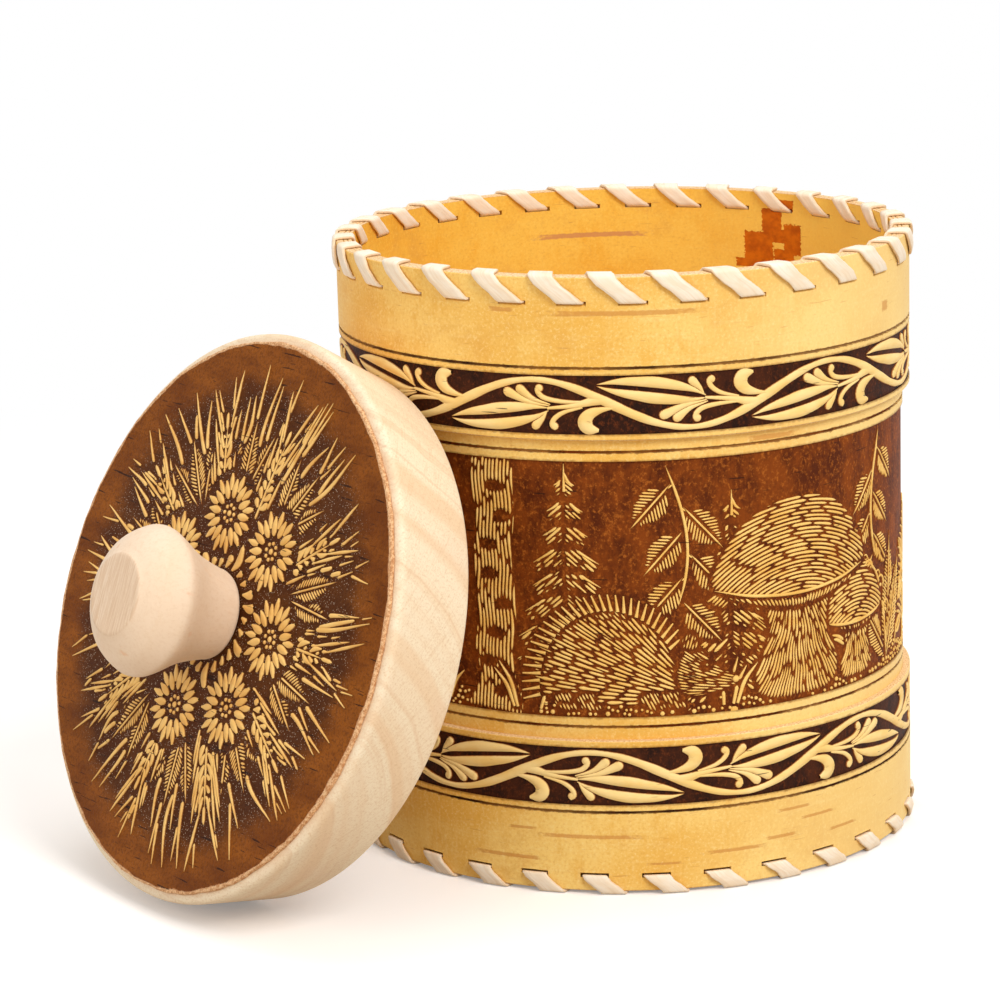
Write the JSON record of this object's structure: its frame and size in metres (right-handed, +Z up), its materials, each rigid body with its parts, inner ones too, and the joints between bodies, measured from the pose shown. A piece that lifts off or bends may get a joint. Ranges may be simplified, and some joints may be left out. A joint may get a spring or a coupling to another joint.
{
  "type": "birch bark box",
  "caption": "Round bark box of nested rolled sheets with laced rims, embossed bands, a pressed-in wooden base and a loose wooden plug lid with a turned knob.",
  "frame": {"origin": "centre of the base's underside, on the axis of the round box, at the surface that the box stands on", "axes": "+Z up along the axis of the box; the lid leans against the box on its -X side and faces between -X and -Y; the picture looks along +Y"},
  "size_m": [0.1902, 0.1671, 0.1322],
  "materials": {
    "inner_bark": "satin, smooth orange-yellow inner side of birch bark",
    "embossed_bark": "satin, stained dark brown ground with raised golden motifs",
    "outer_bark": "satin, golden birch bark with fine brown streaks",
    "lacing": "matt pale bast strip",
    "pale_wood": "matt sanded birch with slanting grain",
    "turned_wood": "matt turned birch",
    "screw_steel": "zinc-plated steel"
  },
  "bodies": {
    "box": {"inner_sleeve": "inner_bark", "frieze_sleeve": "embossed_bark", "upper_band": "outer_bark", "lower_band": "outer_bark", "upper_lacing": "lacing", "lower_lacing": "lacing", "base_disc": "pale_wood"},
    "lid": {"lid_disc": "pale_wood", "lid_bark_disc": "embossed_bark", "lid_knob": "turned_wood", "knob_screw": "screw_steel"}
  },
  "joints": [
    {"name": "lid_lift", "type": "slide", "parent": "box", "child": "lid", "axis": [-0.0545, -0.0438, 0.9976], "range_m": [0, 0.14]}
  ]
}
